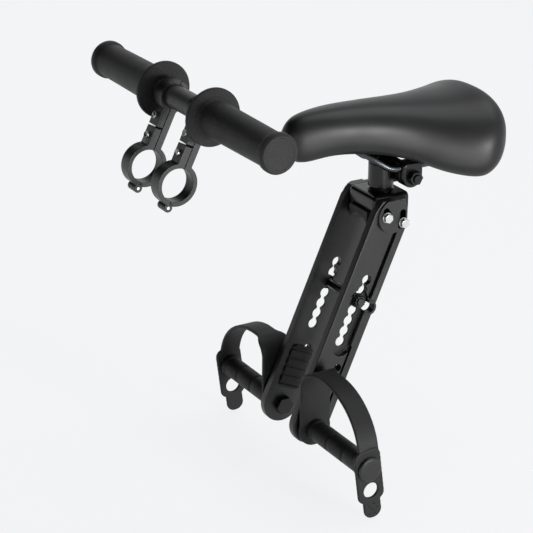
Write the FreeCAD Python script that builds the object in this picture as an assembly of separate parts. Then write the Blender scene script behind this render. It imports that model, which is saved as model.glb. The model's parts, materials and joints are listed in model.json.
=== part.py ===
import FreeCAD, Part
import math
import os

# Child seat that sits on a bicycle's top tube, with the child's own small handlebar.
# Bicycle forward is -Y, the rider's left is +X and up is +Z, in millimetres.
# The origin is on the top tube's axis, under the middle of the head bracket.

V = FreeCAD.Vector
along_x = V(1, 0, 0)

# Clearances
moving_gap = 0.3          # between pieces that move on each other
fit_gap = 0.05            # between a fixed pin and its hole
sheet_gap = 0.15          # each side of a clamp's split line

# Head bracket and its rubber pad on the top tube
tube_radius = 18.0
head_width = 48.0
head_depth = 40.0
head_top = 40.0
head_skirt = 16.0         # height of the folded box
head_sheet = 2.5
head_fold = 5.0
pad_width = 31.0
pad_lip = 3.0             # how far the pad stands in front of the head

# Seat post and saddle clamp
post_y = 2.5
post_radius = 10.5
post_wall = 2.0
post_height = 26.0
weld_leg = 3.0
ring_wall = 2.2
ring_foot = 43.5          # lower end of the ring on the post
ring_top = 67.0
lug_radius = 10.0
lug_half = 15.0           # half length of the cross lug
neck_half = 9.0
clamp_bolt_back = 18.5    # clamp bolt behind the post's axis
clamp_bolt_z = 57.0
clamp_bolt_radius = 4.0
clamp_cup_radius = 11.5
clamp_cup_split = 0.8     # gap between inner and outer cups
clamp_cap_thick = 6.5
clamp_cap_round = 2.5
clamp_crown = 2.5         # cup's top over the rail
clamp_crown_round = 4.0
clamp_nut_height = 6.5
clamp_nut_flats = 13.0

# Saddle
rail_radius = 3.5
rail_x = 22.5
rail_rise = 9.0           # rails over the clamp bolt
rail_straight_front = 22.0
rail_straight_back = 32.0
rail_front_reach = 54.0
rail_front_climb = 38.0
rail_front_x = 4.5
rail_back_reach = 34.0
rail_back_climb = 30.0
rail_back_x = 31.0
rail_bend = 22.0
socket_radius = 6.5
socket_length = 12.0
pad_wall = 8.5
pad_foam = 20.0
base_wall = 3.0
base_lift = 4.0           # base rim above the cover's lower lip
base_gap = 0.35           # glue line between base and foam
saddle_widest = 0.42      # height of the widest line, as a share of the section
crown_power = 2.33        # fullness of the section over and under that line
skirt_power = 2.87
# Stations along the saddle: y, half width, crown height, lower lip height
saddle_stations = [
    (-108.5, 7.0, 114.6, 105.0),
    (-102.8, 12.5, 124.2, 89.0),
    (-91.0, 17.6, 130.5, 83.8),
    (-62.0, 24.0, 133.6, 86.6),
    (-22.0, 29.5, 133.0, 81.7),
    (14.0, 39.6, 131.0, 72.0),
    (46.0, 54.6, 129.5, 57.5),
    (77.5, 67.8, 130.0, 47.6),
    (96.0, 67.5, 132.3, 51.8),
    (108.0, 59.5, 130.3, 63.0),
    (112.5, 51.0, 122.8, 74.0),
    (115.5, 36.0, 112.5, 87.0),
]

# Legs
leg_slant = 23.7          # lean of the legs from upright, feet forward
pivot_y = -3.0
pivot_z = 18.6
leg_thick = 8.0
leg_front = 23.0          # leg edge in front of the line through pivot and peg
leg_back = 19.0
leg_round = 1.5
peg_drop = 222.5          # pivot to peg axis
foot_rise = 2.5           # centre of the rounded foot over the peg axis
top_edge_rise = 19.9      # leg's flat top over the pivot
top_edge_front = 12.5
top_edge_back = 15.2
top_front_corner = 1.0
top_back_corner = -6.0
boss_radius = 17.5
boss_forward = 2.0
boss_up = 3.0
ear_radius = 16.5
boss_proud = 2.5
panel_front = 16.7        # pressed panel, forward and back of the pivot line
panel_back = 10.8
panel_top = 5.0
panel_bottom = 86.0
panel_depth = 1.6
panel_round = 6.0
slot_forward = 1.5        # scalloped slot in front of the pivot line
slot_first = 65.8
slot_pitch = 11.2
slot_count = 7
slot_radius = 5.2
slot_neck = 5.4
pocket_half = 10.5
pocket_top = 77.0
pocket_bottom = 147.0
pocket_depth = 5.5
eye_drop = 91.5           # round eye at the rear edge
eye_back = 12.3
eye_hole = 5.5
eye_rim = 8.0
eye_proud = 1.2
strap_hole_drop = 158.8
strap_hole_back = 3.4
strap_hole_radius = 4.0
ring_groove_top = 172.0
ring_groove_bottom = 206.0
ring_groove_half = 8.5
ring_groove_width = 4.5
ring_groove_forward = 3.0
ring_groove_depth = 3.0
groove_depth = 5.0
rim_groove_top = 8.0         # groove beside the rear rim, from the boss to the eye
rim_groove_bottom = 82.5
rim_groove_width = 3.2
edge_groove_top = 134.0
edge_groove_bottom = 207.0
edge_groove_width = 2.5
leg_swing_back = 20.0     # degrees, set by the arc slots
leg_swing_front = 10.0
front_slot_rise = 6.0     # each bolt slot also runs upright, for setting the height
back_slot_rise = 10.0
frame_pad_thick = 2.0
frame_pad_top = 158.0
frame_pad_length = 46.0
frame_pad_half = 13.0
frame_pad_round = 5.0
frame_pad_rib = 3.0

# Leg bolts
bolt_radius = 3.0
bolt_spread = 10.6        # bolts each side of the pivot
bolt_head_flats = 8.6
bolt_head_height = 4.0
washer_radius = 5.2
washer_thick = 1.2
nut_radius = 4.6          # round weld nuts inside the head
nut_height = 5.0

# Cross pin
pin_index = 2             # scallop that holds the pin, counted from the top
pin_radius = 4.0
pin_shoulder = 4.9
pin_knob_radius = 6.4
pin_knob_length = 5.5
pin_knob_flutes = 12
pin_flute_radius = 0.9
pin_washer_radius = 7.4
pin_washer_thick = 1.8
pin_tip = 1.6             # bare pin end past the knob
pin_head_height = 5.0

# Foot pegs and straps
peg_axle_radius = 6.0
peg_flange_radius = 13.0
peg_flange_thick = 3.0
peg_radius = 10.8
peg_bead_radius = 12.0
peg_bead_length = 7.0
peg_length = 94.0
peg_groove_pitch = 28.0
peg_groove_width = 2.4
peg_groove_depth = 1.0
peg_nut_flats = 17.0
peg_nut_height = 6.0
strap_thick = 3.5
strap_width = 22.5
strap_root_half = 17.0    # half width where the strap stands on the leg
strap_root_start = 6.0     # where it starts and ends narrowing to the band
strap_root_end = 26.0
strap_ring_radius = 18.0
strap_rise = 68.0         # strap's top over the peg
strap_inner_bend = 16.0
strap_outer_reach = 66.0  # the long bend over the foot, across and down
strap_outer_drop = 56.0
strap_tab_width = 29.0
strap_tab_round = 8.0
strap_tab_up = 20.0
strap_tab_down = 37.0
strap_hole_pitch = 24.5
strap_hole_size = 8.0     # radius of the spare buttonhole
strap_tab_tilt = 8.0      # the end tab's foot hangs back
strap_pull_width = 19.0
strap_pull_length = 18.0
strap_pull_round = 8.5
button_neck_radius = 6.2
button_radius = 12.5
button_thick = 4.0

# Child's handlebar
bar_y = -212.7
bar_z = 160.0
bar_radius = 11.1
bar_wall = 2.0
bar_half = 160.0
grip_start = 46.0
grip_length = 120.0
grip_flange_radius = 27.5
grip_flange_thick = 4.0
grip_radius_in = 17.5
grip_radius_out = 16.5
grip_bead_radius = 18.6
grip_bead_length = 8.0
grip_end_wall = 4.0

# Handlebar clamps on the bicycle's own bar
carrier_radius = 15.9
clamp_drop = 70.0         # child's bar to the bicycle's bar
clamp_lean = 25.7
clamp_width = 14.0
clamp_x = 30.0
upper_wall = 4.0
lower_wall = 4.5
clamp_web = 7.0
clamp_ear = 8.0
ear_gap = 1.5
screw_radius = 2.5
screw_head_radius = 3.5
screw_head_height = 2.8
upper_screw_drop = 23.0
lower_screw_drop = 42.5
knuckle_radius = 4.2
knuckle_pin_radius = 1.7
tongue_width = 6.0
tongue_length = 2.5

# Worked out from the driving sizes
half_head = head_width / 2
leg_in = half_head + moving_gap
leg_out = leg_in + leg_thick
boss_out = leg_out + boss_proud
slot_floor = leg_out - pocket_depth
pin_drop = slot_first + pin_index * slot_pitch
slant = math.radians(leg_slant)
peg_y = pivot_y - peg_drop * math.sin(slant)
peg_z = pivot_z - peg_drop * math.cos(slant)
strap_in = leg_out + peg_flange_thick
peg_start = strap_in + strap_thick
peg_end = peg_start + peg_length
button_in = peg_end + strap_thick
bolt_y = post_y + clamp_bolt_back
rail_z = clamp_bolt_z + rail_rise
cup_in = lug_half + moving_gap
cap_out = rail_x + clamp_cup_split / 2 + clamp_cap_thick


def rod(radius, start, end):
    return Part.makeCylinder(radius, (end - start).Length, start, end - start)


def rod_x(radius, x0, x1, y=0.0, z=0.0):
    return Part.makeCylinder(radius, x1 - x0, V(x0, y, z), along_x)


def block(x0, x1, y0, y1, z0, z1):
    return Part.makeBox(x1 - x0, y1 - y0, z1 - z0, V(x0, y0, z0))


def hexagon_x(flats, x0, x1, y=0.0, z=0.0):
    corner = flats / math.sqrt(3)
    ring = [
        V(x0, y + corner * math.cos(math.radians(60 * k)), z + corner * math.sin(math.radians(60 * k)))
        for k in range(7)
    ]
    return Part.Face(Part.makePolygon(ring)).extrude(V(x1 - x0, 0, 0))


def stadium_x(half, y, top, bottom, x0, x1):
    # Round-ended upright slot, between the heights top and bottom
    body = block(x0, x1, y - half, y + half, bottom + half, top - half)
    return body.fuse([rod_x(half, x0, x1, y, top - half), rod_x(half, x0, x1, y, bottom + half)])


def profile_x(edges, x0, x1):
    face = Part.Face(Part.Wire(edges))
    face.translate(V(x0, 0, 0))
    return face.extrude(V(x1 - x0, 0, 0))


def line(a, b):
    return Part.LineSegment(a, b).toShape()


def arc(a, middle, b):
    return Part.Arc(a, middle, b).toShape()


def yz(y, z):
    return V(0, y, z)


def turn(points, axis_start, axis):
    return Part.Face(Part.makePolygon(points + [points[0]])).revolve(axis_start, axis, 360)


def edges_where(shape, test):
    return [edge for edge in shape.Edges if all(test(v.Point) for v in edge.Vertexes)]


def near(a, b):
    return abs(a - b) < 1e-4


def hang(shape, degrees, y, z):
    # From upright to a lean with its foot forward, then to its pivot
    shape = shape.copy()
    shape.rotate(V(0, 0, 0), along_x, -degrees)
    shape.translate(V(0, y, z))
    return shape


def hang_leg(shape):
    return hang(shape, leg_slant, pivot_y, pivot_z)


def hang_clamp(shape):
    return hang(shape, clamp_lean, bar_y, bar_z)


def other_side(shape):
    return shape.mirror(V(0, 0, 0), along_x)


def both_sides(shapes):
    return Part.makeCompound([solid for shape in shapes for solid in (shape, other_side(shape))])


# Head bracket: a box folded from sheet, open below and behind, with an ear down each side
def ear():
    low = head_top - head_skirt + head_sheet
    front = yz(pivot_y - ear_radius, pivot_z)
    back = yz(pivot_y + ear_radius, pivot_z)
    front_top = yz(-head_depth / 2 + head_fold, low)
    back_top = yz(head_depth / 2, low)
    outline = [
        line(front_top, front),
        arc(front, yz(pivot_y, pivot_z - ear_radius), back),
        line(back, back_top),
        line(back_top, front_top),
    ]
    return profile_x(outline, half_head - head_sheet, half_head)


def bolt_places():
    # The two bolts of one side, in the leg's own frame
    return [-bolt_spread, bolt_spread]


def head_bracket():
    front = -head_depth / 2
    back = head_depth / 2
    low = head_top - head_skirt
    outer = block(-half_head, half_head, front, back, low, head_top)

    def folded(p):
        on_top = near(p.z, head_top)
        on_side = near(abs(p.x), half_head)
        on_front = near(p.y, front)
        return (on_top and on_side) or (on_top and on_front) or (on_side and on_front)

    folds = [
        edge for edge in edges_where(outer, folded)
        if not all(near(v.Point.y, back) for v in edge.Vertexes)
        and not all(near(v.Point.z, low) for v in edge.Vertexes)
    ]
    outer = outer.makeFillet(head_fold, folds)
    inside = half_head - head_sheet
    inner = block(-inside, inside, front + head_sheet, back + 1, low - 1, head_top - head_sheet)
    shell = outer.cut(inner)
    side = ear()
    shell = shell.fuse([side, other_side(side)])
    holes = []
    for y in bolt_places():
        hole = hang_leg(rod_x(bolt_radius + fit_gap, 0, leg_in, y))
        holes += [hole, other_side(hole)]
    return shell.cut(holes).removeSplitter()


def tube_pad():
    half = pad_width / 2
    front = -head_depth / 2
    roof = head_top - head_sheet
    body = block(-half, half, front + head_sheet, head_depth / 2, 0, roof)
    lip_top = head_top - head_skirt - fit_gap
    lip = block(-half, half, front - pad_lip, front + head_sheet, 0, lip_top)
    pad = body.fuse(lip).removeSplitter()
    tube = Part.makeCylinder(tube_radius, 4 * head_depth, V(0, -2 * head_depth, 0), V(0, 1, 0))
    return pad.cut(tube)


# Seat post: a tube with its weld bead on the head
def seat_post():
    inner = post_radius - post_wall
    points = [
        V(inner, 0, 0),
        V(post_radius + weld_leg, 0, 0),
        V(post_radius + weld_leg * 0.4, 0, weld_leg * 0.4),
        V(post_radius, 0, weld_leg),
        V(post_radius, 0, post_height),
        V(inner, 0, post_height),
    ]
    post = turn(points, V(0, 0, 0), V(0, 0, 1))
    post.translate(V(0, post_y, head_top))
    return post


# Saddle clamp: a ring on the post with a cross lug, and a pair of cups on each rail
def clamp_ring():
    ring = Part.makeCylinder(post_radius + ring_wall, ring_top - ring_foot, V(0, post_y, ring_foot))
    lug = rod_x(lug_radius, -lug_half, lug_half, bolt_y, clamp_bolt_z)
    neck = block(-neck_half, neck_half, post_y, bolt_y, clamp_bolt_z - lug_radius, clamp_bolt_z + lug_radius)
    bore = Part.makeCylinder(post_radius + fit_gap, 2 * ring_top, V(0, post_y, 0))
    bolt_hole = rod_x(clamp_bolt_radius + moving_gap, -lug_half, lug_half, bolt_y, clamp_bolt_z)
    return ring.fuse([neck, lug]).cut([bore, bolt_hole]).removeSplitter()


def cup_outline(x0, x1):
    # Round about the bolt, with a shoulder that carries the rail
    r = clamp_cup_radius
    top = rail_z + rail_radius + clamp_crown
    round_part = rod_x(r, x0, x1, bolt_y, clamp_bolt_z)
    shoulder = block(x0, x1, bolt_y - r, bolt_y + r, clamp_bolt_z, top)
    crown = edges_where(shoulder, lambda p: near(p.z, top))
    crown = [e for e in crown if near(e.Vertexes[0].Point.y, e.Vertexes[1].Point.y)]
    return round_part.fuse(shoulder.makeFillet(clamp_crown_round, crown)).removeSplitter()


def cup_cuts():
    reach = 3 * clamp_cup_radius
    start = V(rail_x, bolt_y - reach, rail_z)
    groove = rod(rail_radius + moving_gap, start, start + V(0, 2 * reach, 0))
    hole = rod_x(clamp_bolt_radius + fit_gap, 0, 2 * cap_out, bolt_y, clamp_bolt_z)
    return [groove, hole]


def inner_cups():
    cup = cup_outline(cup_in, rail_x - clamp_cup_split / 2).cut(cup_cuts())
    return both_sides([cup])


def outer_cups():
    cup = cup_outline(rail_x + clamp_cup_split / 2, cap_out)
    rim = edges_where(cup, lambda p: near(p.x, cap_out))
    return both_sides([cup.makeFillet(clamp_cap_round, rim).cut(cup_cuts())])


def clamp_bolt():
    end = cap_out + clamp_nut_height + 2.0
    return rod_x(clamp_bolt_radius, -end, end, bolt_y, clamp_bolt_z)


def clamp_nuts():
    nut = hexagon_x(clamp_nut_flats, cap_out, cap_out + clamp_nut_height, bolt_y, clamp_bolt_z)
    hole = rod_x(clamp_bolt_radius + fit_gap, 0, 2 * cap_out, bolt_y, clamp_bolt_z)
    return both_sides([nut.cut(hole)])


# Saddle: a moulded cover lofted through its stations, a hollow base and two bent rails
def saddle_section(y, half, top, low):
    # Right half from the lower lip round to the crown, then its mirror image
    mid = low + saddle_widest * (top - low)
    points = []
    for degrees in range(-90, 91, 30):
        t = math.radians(degrees)
        power = 2 / (crown_power if degrees >= 0 else skirt_power)
        rise = top - mid if degrees >= 0 else mid - low
        x = half * abs(math.cos(t)) ** power
        z = mid + rise * math.copysign(abs(math.sin(t)) ** power, t)
        points.append(V(x, y, z))
    points[0].x = 0.0
    points[-1].x = 0.0
    curve = Part.BSplineCurve()
    curve.interpolate(Points=points, InitialTangent=V(1, 0, 0), FinalTangent=V(-1, 0, 0))
    side = curve.toShape()
    return Part.Wire([side, other_side(side)])


def saddle_loft(wall, roof, floor):
    # The cover's own form, drawn in by wall and roof and with its lip lifted by floor
    nose = saddle_stations[0][0]
    tail = saddle_stations[-1][0]
    shrink = 1 - 2 * wall / (tail - nose)
    wires = []
    for y, half, top, low in saddle_stations:
        y = (nose + tail) / 2 + (y - (nose + tail) / 2) * shrink
        half = max(half - wall, 0.45 * half)
        low = min(low + floor, top - roof - 5.0)
        wires.append(saddle_section(y, half, top - roof, low))
    return Part.makeLoft(wires, True)


def saddle_cover():
    return saddle_loft(0, 0, 0).cut(saddle_loft(pad_wall, pad_foam, -3 * base_lift))


def rail_points():
    front = V(rail_x, bolt_y - rail_straight_front, rail_z)
    back = V(rail_x, bolt_y + rail_straight_back, rail_z)
    tip = V(rail_front_x, front.y - rail_front_reach, rail_z + rail_front_climb)
    tail = V(rail_back_x, back.y + rail_back_reach, rail_z + rail_back_climb)
    return [tip, front, back, tail]


def bent_path(points, radius):
    # Straight runs joined by tangent arcs
    edges = []
    start = points[0]
    for before, corner, after in zip(points, points[1:], points[2:]):
        into = (before - corner).normalize()
        out = (after - corner).normalize()
        half_angle = into.getAngle(out) / 2
        reach = radius / math.tan(half_angle)
        middle = (into + out).normalize()
        centre = corner + middle * (radius / math.sin(half_angle))
        a = corner + into * reach
        b = corner + out * reach
        edges += [line(start, a), arc(a, centre - middle * radius, b)]
        start = b
    edges.append(line(start, points[-1]))
    return Part.Wire(edges)


def rail(radius):
    path = bent_path(rail_points(), rail_bend)
    start = rail_points()[0]
    disc = Part.Wire(Part.makeCircle(radius, start, rail_points()[1] - start))
    return path.makePipeShell([disc], True, False)


def saddle_base():
    cavity = saddle_loft(pad_wall + base_gap, pad_foam + base_gap, -3 * base_lift)
    lip = saddle_loft(0, 0, 0)
    lip.translate(V(0, 0, base_lift))
    cavity = cavity.common(lip)
    hollow = saddle_loft(pad_wall + base_wall, pad_foam + base_wall, -4 * base_lift)
    shell = cavity.cut(hollow)
    tip, front, back, tail = rail_points()
    sockets = []
    for end, last in ((tip, front), (tail, back)):
        way = (end - last).normalize()
        boss = rod(socket_radius, end - way * socket_length, end + way * 4 * socket_length)
        boss = boss.common(cavity)
        sockets += [boss, other_side(boss)]
    bore = rail(rail_radius + fit_gap)
    return shell.fuse(sockets).cut([bore, other_side(bore)]).removeSplitter()


def saddle_rails():
    return both_sides([rail(rail_radius)])


# Legs: moulded panels with a pressed panel, a scalloped slot and two arc slots at the head
def top_corner(y):
    # A point of the flat top edge, level when the leg hangs at its slant
    point = yz(y, top_edge_rise)
    return FreeCAD.Rotation(along_x, leg_slant).multVec(point)


def leg_outline(x0, x1):
    middle = (leg_back - leg_front) / 2
    half = (leg_back + leg_front) / 2
    back_top = yz(leg_back, top_back_corner)
    front_top = yz(-leg_front, top_front_corner)
    foot = foot_rise - peg_drop
    back_low = yz(leg_back, foot)
    front_low = yz(-leg_front, foot)
    bottom = yz(middle, foot - half)
    edges = [
        line(back_top, top_corner(top_edge_back)),
        line(top_corner(top_edge_back), top_corner(-top_edge_front)),
        line(top_corner(-top_edge_front), front_top),
        line(front_top, front_low),
        arc(front_low, bottom, back_low),
        line(back_low, back_top),
    ]
    return profile_x(edges, x0, x1)


def arc_slot(side, x0, x1):
    # Slot on a circle about the pivot, as long as the swing of the leg
    width = bolt_radius + moving_gap

    def at(radius, degrees):
        return FreeCAD.Rotation(along_x, degrees).multVec(yz(side * radius, 0))

    big = bolt_spread + width
    small = bolt_spread - width
    low = -leg_swing_back
    high = leg_swing_front
    past = math.degrees(width / bolt_spread)
    edges = [
        arc(at(big, low), at(big, 0), at(big, high)),
        arc(at(big, high), at(bolt_spread, high + past), at(small, high)),
        arc(at(small, high), at(small, 0), at(small, low)),
        arc(at(small, low), at(bolt_spread, low - past), at(big, low)),
    ]
    return profile_x(edges, x0, x1)


def upright_slot(y, rise):
    # From a bolt straight up the head, whatever the leg's lean
    width = bolt_radius + moving_gap
    slot = stadium_x(width, 0, rise + width, -width, 0, 2 * leg_out)
    slot.rotate(V(0, 0, 0), along_x, leg_slant)
    slot.translate(V(0, y, 0))
    return slot


def slot_cuts():
    cuts = []
    for k in range(slot_count):
        cuts.append(rod_x(slot_radius, 0, 2 * leg_out, -slot_forward, -slot_first - k * slot_pitch))
    last = slot_first + (slot_count - 1) * slot_pitch
    half = slot_neck / 2
    cuts.append(block(0, 2 * leg_out, -slot_forward - half, -slot_forward + half, -last, -slot_first))
    return cuts


def ring_groove():
    low = leg_out - ring_groove_depth
    middle = -ring_groove_forward
    inner = ring_groove_half - ring_groove_width
    outside = stadium_x(ring_groove_half, middle, -ring_groove_top, -ring_groove_bottom, low, 2 * leg_out)
    island_top = -ring_groove_top - ring_groove_width
    island_low = -ring_groove_bottom + ring_groove_width
    island = stadium_x(inner, middle, island_top, island_low, 0, 2 * leg_out)
    return outside.cut(island)


def rear_groove(width, top, bottom):
    return stadium_x(width / 2, panel_back - width / 2, -top, -bottom, leg_out - groove_depth, 2 * leg_out)


def leg():
    plate = leg_outline(leg_in, leg_out)
    plate = plate.makeFillet(leg_round, edges_where(plate, lambda p: near(p.x, leg_out)))
    panel = block(
        leg_out - panel_depth, 2 * leg_out, -panel_front, panel_back, -panel_bottom, -panel_top
    )
    corners = edges_where(panel, lambda p: near(p.z, -panel_bottom))
    corners = [e for e in corners if near(e.Vertexes[0].Point.y, e.Vertexes[1].Point.y)]
    panel = panel.makeFillet(panel_round, corners)
    pocket = stadium_x(pocket_half, -slot_forward, -pocket_top, -pocket_bottom, slot_floor, 2 * leg_out)
    rim_groove = rear_groove(rim_groove_width, rim_groove_top, rim_groove_bottom)
    edge_groove = rear_groove(edge_groove_width, edge_groove_top, edge_groove_bottom)
    plate = plate.cut([panel, pocket, rim_groove, edge_groove, ring_groove()])
    boss = rod_x(boss_radius, leg_in, boss_out, -boss_forward, boss_up).common(leg_outline(leg_in, boss_out))
    eye = rod_x(eye_rim, leg_in, leg_out + eye_proud, eye_back, -eye_drop)
    eye = eye.cut(stadium_x(pocket_half, -slot_forward, -pocket_top, -pocket_bottom, 0, 2 * leg_out))
    plate = plate.fuse([boss, eye])
    cuts = slot_cuts()
    cuts += [arc_slot(-1, 0, 2 * leg_out), arc_slot(1, 0, 2 * leg_out)]
    cuts += [upright_slot(-bolt_spread, front_slot_rise), upright_slot(bolt_spread, back_slot_rise)]
    cuts.append(rod_x(eye_hole, 0, 2 * leg_out, eye_back, -eye_drop))
    cuts.append(rod_x(strap_hole_radius, 0, 2 * leg_out, strap_hole_back, -strap_hole_drop))
    cuts.append(rod_x(peg_axle_radius + fit_gap, 0, 2 * leg_out, 0, -peg_drop))
    return hang_leg(plate.cut(cuts).removeSplitter())


def frame_pad():
    # Rubber strip inside the leg that meets the bicycle's frame
    x0 = leg_in - frame_pad_thick
    middle = (leg_back - leg_front) / 2
    low = -frame_pad_top - frame_pad_length
    pad = block(x0, leg_in, middle - frame_pad_half, middle + frame_pad_half, low, -frame_pad_top)
    corners = [e for e in pad.Edges if near(e.Length, frame_pad_thick)]
    pad = pad.makeFillet(frame_pad_round, corners)
    count = int(frame_pad_length / (3 * frame_pad_rib))
    grooves = []
    for k in range(count):
        z = -frame_pad_top - (k + 0.5) * frame_pad_length / count
        grooves.append(block(0, x0 + frame_pad_thick / 2, -2 * leg_front, 2 * leg_front,
                             z - frame_pad_rib / 2, z + frame_pad_rib / 2))
    return hang_leg(pad.cut(grooves))


# Fasteners at the head: four bolts through the arc slots into nuts inside the head
def leg_bolts():
    seat = boss_out + moving_gap + washer_thick
    bolts = []
    for y in bolt_places():
        shank = rod_x(bolt_radius, half_head - head_sheet - nut_height, seat, y)
        head = hexagon_x(bolt_head_flats, seat, seat + bolt_head_height, y)
        bolts.append(hang_leg(shank.fuse(head).removeSplitter()))
    return both_sides(bolts)


def leg_washers():
    inner = boss_out + moving_gap
    hole = bolt_radius + fit_gap
    washers = []
    for y in bolt_places():
        disc = rod_x(washer_radius, inner, inner + washer_thick, y)
        washers.append(hang_leg(disc.cut(rod_x(hole, 0, 2 * inner, y))))
    return both_sides(washers)


def leg_nuts():
    wall = half_head - head_sheet
    nuts = []
    for y in bolt_places():
        nut = rod_x(nut_radius, wall - nut_height, wall, y)
        nuts.append(hang_leg(nut.cut(rod_x(bolt_radius + fit_gap, 0, 2 * wall, y))))
    return both_sides(nuts)


# Cross pin: a shouldered rod through both slots, a fluted knob on the left end
def cross_pin():
    y, z = -slot_forward, -pin_drop
    washer_out = slot_floor + pin_washer_thick
    knob_out = washer_out + pin_knob_length
    pin = rod_x(pin_radius, -washer_out, knob_out + pin_tip, y, z)
    right = rod_x(pin_shoulder, -washer_out, -leg_in, y, z)
    left = rod_x(pin_shoulder, leg_in, slot_floor, y, z)
    head = rod_x(pin_knob_radius, -washer_out - pin_head_height, -washer_out, y, z)
    rim = edges_where(head, lambda p: near(p.x, -washer_out - pin_head_height))
    head = head.makeFillet(2.0, rim)
    return hang_leg(pin.fuse([left, right, head]).removeSplitter())


def pin_washers():
    y, z = -slot_forward, -pin_drop
    right = rod_x(pin_washer_radius, -slot_floor - pin_washer_thick, -slot_floor, y, z)
    right = right.cut(rod_x(pin_shoulder + fit_gap, -2 * leg_out, 0, y, z))
    left = rod_x(pin_washer_radius, slot_floor, slot_floor + pin_washer_thick, y, z)
    left = left.cut(rod_x(pin_radius + fit_gap, 0, 2 * leg_out, y, z))
    return hang_leg(Part.makeCompound([left, right]))


def pin_knob():
    y, z = -slot_forward, -pin_drop
    x0 = slot_floor + pin_washer_thick
    knob = rod_x(pin_knob_radius, x0, x0 + pin_knob_length, y, z)
    knob = knob.makeFillet(1.2, edges_where(knob, lambda p: near(p.x, x0 + pin_knob_length)))
    flutes = []
    for k in range(pin_knob_flutes):
        t = 2 * math.pi * k / pin_knob_flutes
        flutes.append(rod_x(pin_flute_radius, x0 + 2, x0 + 2 * pin_knob_length,
                            y + pin_knob_radius * math.cos(t), z + pin_knob_radius * math.sin(t)))
    bore = rod_x(pin_radius + fit_gap, 0, 2 * leg_out + pin_knob_length, y, z)
    return hang_leg(knob.cut(flutes + [bore]))


# Foot pegs: an axle through the leg's foot, a rubber sleeve and an end button for the strap
def peg_axle():
    stud = rod_x(peg_axle_radius, leg_in, peg_end, peg_y, peg_z)
    flange = rod_x(peg_flange_radius, leg_out, strap_in, peg_y, peg_z)
    flange = flange.makeFillet(1.0, edges_where(flange, lambda p: near(p.x, strap_in)))
    head = hexagon_x(peg_nut_flats, leg_in - peg_nut_height, leg_in, peg_y, peg_z)
    return stud.fuse([flange, head]).removeSplitter()


def peg_sleeve():
    sleeve = rod_x(peg_radius, peg_start, peg_end, peg_y, peg_z)
    bead = rod_x(peg_bead_radius, peg_end - peg_bead_length, peg_end, peg_y, peg_z)
    bead = bead.makeFillet(2.0, bead.Edges[:1] + bead.Edges[2:])
    sleeve = sleeve.fuse(bead)
    grooves = []
    for k in range(1, int(peg_length / peg_groove_pitch) + 1):
        x = peg_end - peg_bead_length / 2 - k * peg_groove_pitch
        ring = rod_x(2 * peg_radius, x, x + peg_groove_width, peg_y, peg_z)
        grooves.append(ring.cut(rod_x(peg_radius - peg_groove_depth, x, x + peg_groove_width, peg_y, peg_z)))
    bore = rod_x(peg_axle_radius + fit_gap, 0, 2 * peg_end, peg_y, peg_z)
    return sleeve.cut(grooves + [bore])


def peg_button():
    neck = rod_x(button_neck_radius, peg_end, button_in, peg_y, peg_z)
    cap = rod_x(button_radius, button_in, button_in + button_thick, peg_y, peg_z)
    cap = cap.makeFillet(1.6, edges_where(cap, lambda p: near(p.x, button_in + button_thick)))
    return neck.fuse(cap).removeSplitter()


def quarter(start, corner, end):
    # A quarter of an oval from start to end, drawn toward the corner
    bend = Part.BezierCurve()
    pull = 4 * (math.sqrt(2) - 1) / 3
    bend.setPoles([start, start + (corner - start) * pull, end + (corner - end) * pull, end])
    return bend.toShape()


def strap_band():
    # The band seen along the bicycle: up beside the leg, over the foot and down to the button
    top = peg_z + strap_rise

    def run(inner_x, outer_x, height, bend):
        # One face of the band, from the leg to the button
        low_inner = V(inner_x, 0, peg_z)
        turn_inner = V(inner_x, 0, height - bend)
        top_inner = V(inner_x + bend, 0, height)
        top_outer = V(peg_end - strap_outer_reach, 0, height)
        turn_outer = V(outer_x, 0, top - strap_thick - strap_outer_drop)
        low_outer = V(outer_x, 0, peg_z)
        return [
            line(low_inner, turn_inner),
            quarter(turn_inner, V(inner_x, 0, height), top_inner),
            line(top_inner, top_outer),
            quarter(top_outer, V(outer_x, 0, height), turn_outer),
            line(turn_outer, low_outer),
        ]

    t = strap_thick
    edges = run(strap_in + t, peg_end, top - t, strap_inner_bend)
    edges += run(strap_in, peg_end + t, top, strap_inner_bend + t)
    edges += [
        line(V(strap_in, 0, peg_z), V(strap_in + t, 0, peg_z)),
        line(V(peg_end, 0, peg_z), V(peg_end + t, 0, peg_z)),
    ]
    outline = Part.Wire(Part.__sortEdges__(edges))
    band = Part.Face(outline).extrude(V(0, 2 * strap_root_half, 0))
    band.translate(V(0, peg_y - strap_root_half, 0))
    return band.common(strap_plan())


def strap_plan():
    # The band seen from above: broad where it stands on the leg, then narrowing
    wide = strap_root_half
    slim = strap_width / 2
    start = strap_in - 1
    end = button_in + 1
    broad = strap_in + strap_root_start
    narrow = strap_in + strap_root_end
    middle = (broad + narrow) / 2

    def curve(side):
        bend = Part.BezierCurve()
        bend.setPoles([V(broad, side * wide, 0), V(middle, side * wide, 0), V(middle, side * slim, 0),
                       V(narrow, side * slim, 0)])
        return bend.toShape()

    outline = [
        line(V(start, -wide, 0), V(broad, -wide, 0)),
        curve(-1),
        line(V(narrow, -slim, 0), V(end, -slim, 0)),
        line(V(end, -slim, 0), V(end, slim, 0)),
        line(V(end, slim, 0), V(narrow, slim, 0)),
        curve(1),
        line(V(broad, wide, 0), V(start, wide, 0)),
        line(V(start, wide, 0), V(start, -wide, 0)),
    ]
    plan = Part.Face(Part.Wire(Part.__sortEdges__(outline))).extrude(V(0, 0, 2 * strap_rise))
    plan.translate(V(0, peg_y, peg_z - strap_rise / 2))
    return plan


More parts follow.
